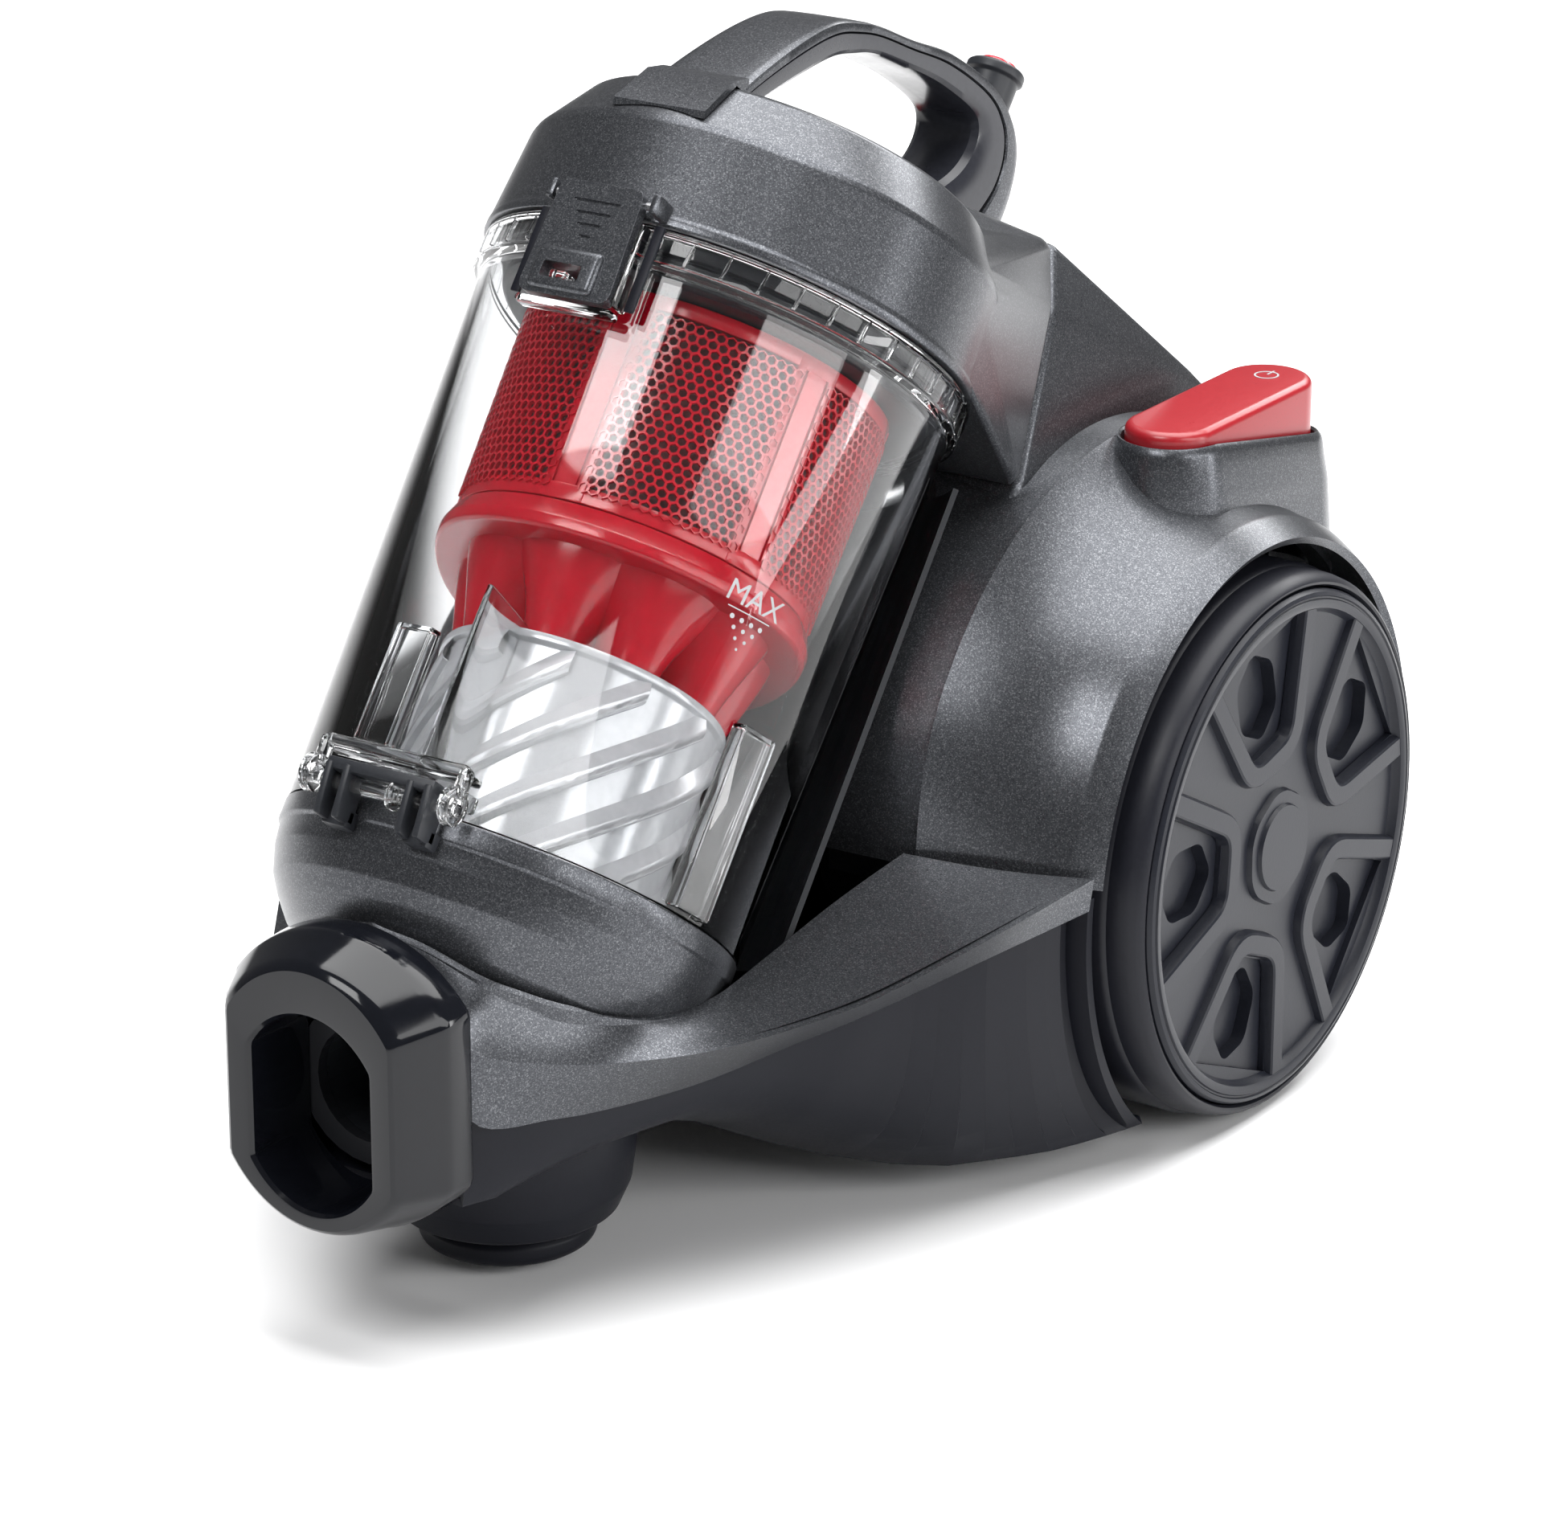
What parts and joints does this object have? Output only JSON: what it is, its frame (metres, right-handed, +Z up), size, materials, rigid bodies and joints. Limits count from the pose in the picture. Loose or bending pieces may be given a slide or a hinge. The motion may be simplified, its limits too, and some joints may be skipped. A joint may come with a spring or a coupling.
{
  "type": "canister vacuum cleaner",
  "caption": "Bagless canister vacuum cleaner with a leaning clear cyclone bin, arched carry handle, large rear wheels, front caster and foot pedals.",
  "frame": {"origin": "middle of the footprint, on the floor under the wheels", "axes": "+Z up, the hose inlet faces -Y, X across the machine along the wheels' axle"},
  "size_m": [0.2778, 0.4042, 0.3364],
  "materials": {
    "metallic_grey": "satin with fine metallic flake",
    "dark_plastic": "satin",
    "black_plastic": "fine grain",
    "gloss_black": "glossy",
    "red_plastic": "glossy",
    "clear_plastic": "clear",
    "milky_plastic": "frosted",
    "soft_rubber": "matte",
    "filter_foam": "open-cell foam",
    "motor_casing": "cast",
    "steel": "plain"
  },
  "bodies": {
    "housing": {"axle_left": "steel", "axle_right": "steel", "base_pan": "black_plastic", "base_screw_1": "steel", "base_screw_2": "steel", "base_screw_3": "steel", "base_screw_4": "steel", "bin_cradle": "dark_plastic", "caster_housing": "black_plastic", "cord_outlet": "black_plastic", "cradle_duct": "dark_plastic", "exhaust_filter": "filter_foam", "front_skirt": "metallic_grey", "inlet_collar": "gloss_black", "inlet_seal": "soft_rubber", "inlet_tube": "dark_plastic", "main_housing": "metallic_grey", "motor_core": "steel", "motor_housing": "motor_casing", "motor_mount": "soft_rubber", "neck_cover": "metallic_grey", "power_pedal_spring": "steel", "power_switch": "black_plastic", "reel_axle": "steel", "rewind_pedal_spring": "steel"},
    "bin": {"bin_cylinder": "clear_plastic", "door_hinge_pin": "steel", "fine_dust_cup": "milky_plastic", "cyclone_cones": "red_plastic", "cyclone_skirt": "red_plastic", "cyclone_shroud": "red_plastic", "shroud_collar": "dark_plastic", "lid": "metallic_grey", "lid_seal": "soft_rubber", "lid_filter": "filter_foam", "filter_cover": "red_plastic", "handle_top": "metallic_grey", "handle_under": "gloss_black", "button_collar": "metallic_grey", "button_spring": "steel", "latch_pin": "steel"},
    "bin_door": {"bin_door": "metallic_grey", "door_seal": "soft_rubber"},
    "latch": {"lid_latch": "metallic_grey"},
    "release_button": {"release_button": "red_plastic"},
    "wheel_right": {"tyre_right": "soft_rubber", "wheel_rim_right": "black_plastic", "hub_cap_right": "dark_plastic"},
    "wheel_left": {"tyre_left": "soft_rubber", "wheel_rim_left": "black_plastic", "hub_cap_left": "dark_plastic"},
    "caster": {"caster_fork": "dark_plastic", "caster_pin": "steel"},
    "caster_wheel": {"caster_wheel": "soft_rubber"},
    "power_pedal": {"power_pedal": "red_plastic"},
    "rewind_pedal": {"rewind_pedal": "red_plastic"},
    "motor_rotor": {"motor_shaft": "steel", "motor_impeller": "steel"},
    "cord_reel": {"cord_reel_drum": "dark_plastic"},
    "exhaust_grille": {"exhaust_grille": "metallic_grey"}
  },
  "joints": [
    {"name": "bin_lift", "type": "slide", "parent": "housing", "child": "bin", "axis": [0, 0.6177, 0.7864], "range_m": [0, 0.25]},
    {"name": "bin_door_hinge", "type": "hinge", "parent": "bin", "child": "bin_door", "pos_m": [0, -0.16577, 0.15854], "axis": [-1, 0, 0], "range_deg": [0, 75]},
    {"name": "lid_latch_hinge", "type": "hinge", "parent": "bin", "child": "latch", "pos_m": [0, -0.05672, 0.30304], "axis": [-1, 0, 0], "range_deg": [0, 38], "stiffness_Nm_per_rad": 0.05},
    {"name": "release_button_press", "type": "slide", "parent": "bin", "child": "release_button", "axis": [0, -0.6177, -0.7864], "range_m": [0, 0.003], "stiffness_N_per_m": 500},
    {"name": "wheel_right_spin", "type": "hinge", "parent": "housing", "child": "wheel_right", "pos_m": [0.101, 0.1003, 0.086], "axis": [1, 0, 0], "continuous": true},
    {"name": "wheel_left_spin", "type": "hinge", "parent": "housing", "child": "wheel_left", "pos_m": [-0.101, 0.1003, 0.086], "axis": [1, 0, 0], "continuous": true},
    {"name": "caster_swivel", "type": "hinge", "parent": "housing", "child": "caster", "pos_m": [0, -0.111, 0.02], "axis": [0, 0, 1], "continuous": true},
    {"name": "caster_roll", "type": "hinge", "parent": "caster", "child": "caster_wheel", "pos_m": [0, -0.103, 0.013], "axis": [1, 0, 0], "continuous": true},
    {"name": "power_pedal_press", "type": "hinge", "parent": "housing", "child": "power_pedal", "pos_m": [0.092, 0.1, 0.2], "axis": [-1, 0, 0], "range_deg": [0, 3], "stiffness_Nm_per_rad": 6},
    {"name": "rewind_pedal_press", "type": "hinge", "parent": "housing", "child": "rewind_pedal", "pos_m": [-0.092, 0.1, 0.2], "axis": [-1, 0, 0], "range_deg": [0, 3], "stiffness_Nm_per_rad": 6},
    {"name": "motor_spin", "type": "hinge", "parent": "housing", "child": "motor_rotor", "pos_m": [0, 0.11, 0.074], "axis": [1, 0, 0], "continuous": true},
    {"name": "cord_reel_spin", "type": "hinge", "parent": "housing", "child": "cord_reel", "pos_m": [-0.05, 0.11, 0.08], "axis": [1, 0, 0], "continuous": true},
    {"name": "exhaust_grille_hinge", "type": "hinge", "parent": "housing", "child": "exhaust_grille", "pos_m": [0, 0.2004, 0.071], "axis": [-1, 0, 0], "range_deg": [0, 60]}
  ],
  "couplings": [
    {"joint": "bin_door_hinge", "follows": "bin_lift", "rad_per_m": 5.23}
  ]
}
